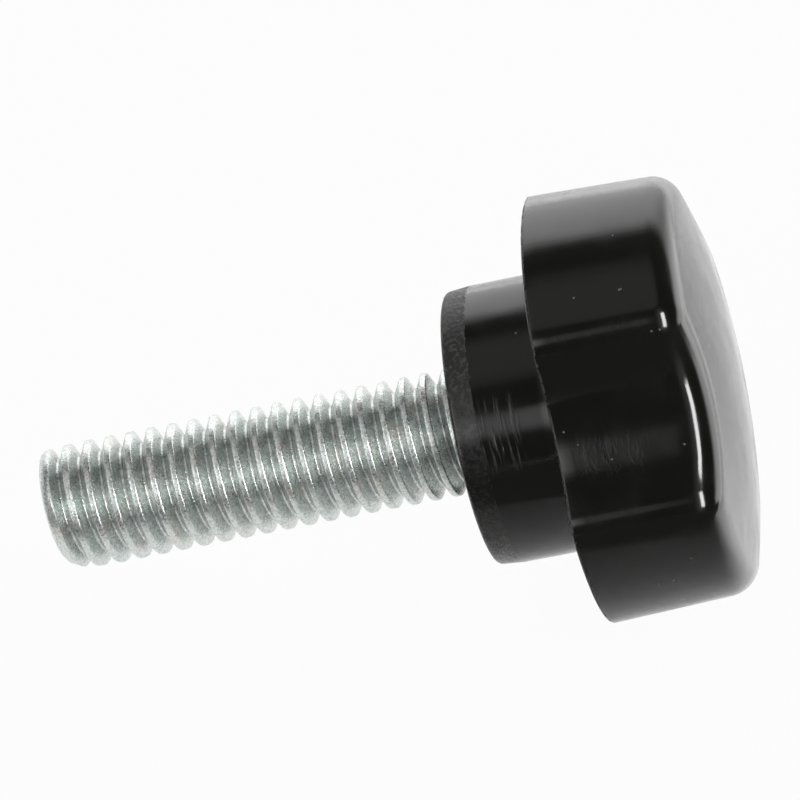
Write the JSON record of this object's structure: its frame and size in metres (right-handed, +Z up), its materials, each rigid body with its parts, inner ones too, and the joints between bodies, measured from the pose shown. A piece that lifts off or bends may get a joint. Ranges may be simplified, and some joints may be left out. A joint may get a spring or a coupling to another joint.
{
  "type": "thumb screw",
  "caption": "Fluted moulded plastic knob with a round hub on a metric threaded steel stud, turned by hand to clamp or adjust.",
  "frame": {"origin": "on the surface that the screw lies on, below the middle of its box", "axes": "+X runs level along the screw from the tip of its thread towards the knob, and +Z is up"},
  "size_m": [0.033, 0.0198, 0.0194],
  "materials": {
    "knob_plastic": "glossy black moulded plastic",
    "zinc_steel": "bright zinc plate on a rolled thread"
  },
  "bodies": {
    "root": {"knob": "knob_plastic", "threaded_stud": "zinc_steel"}
  },
  "joints": []
}
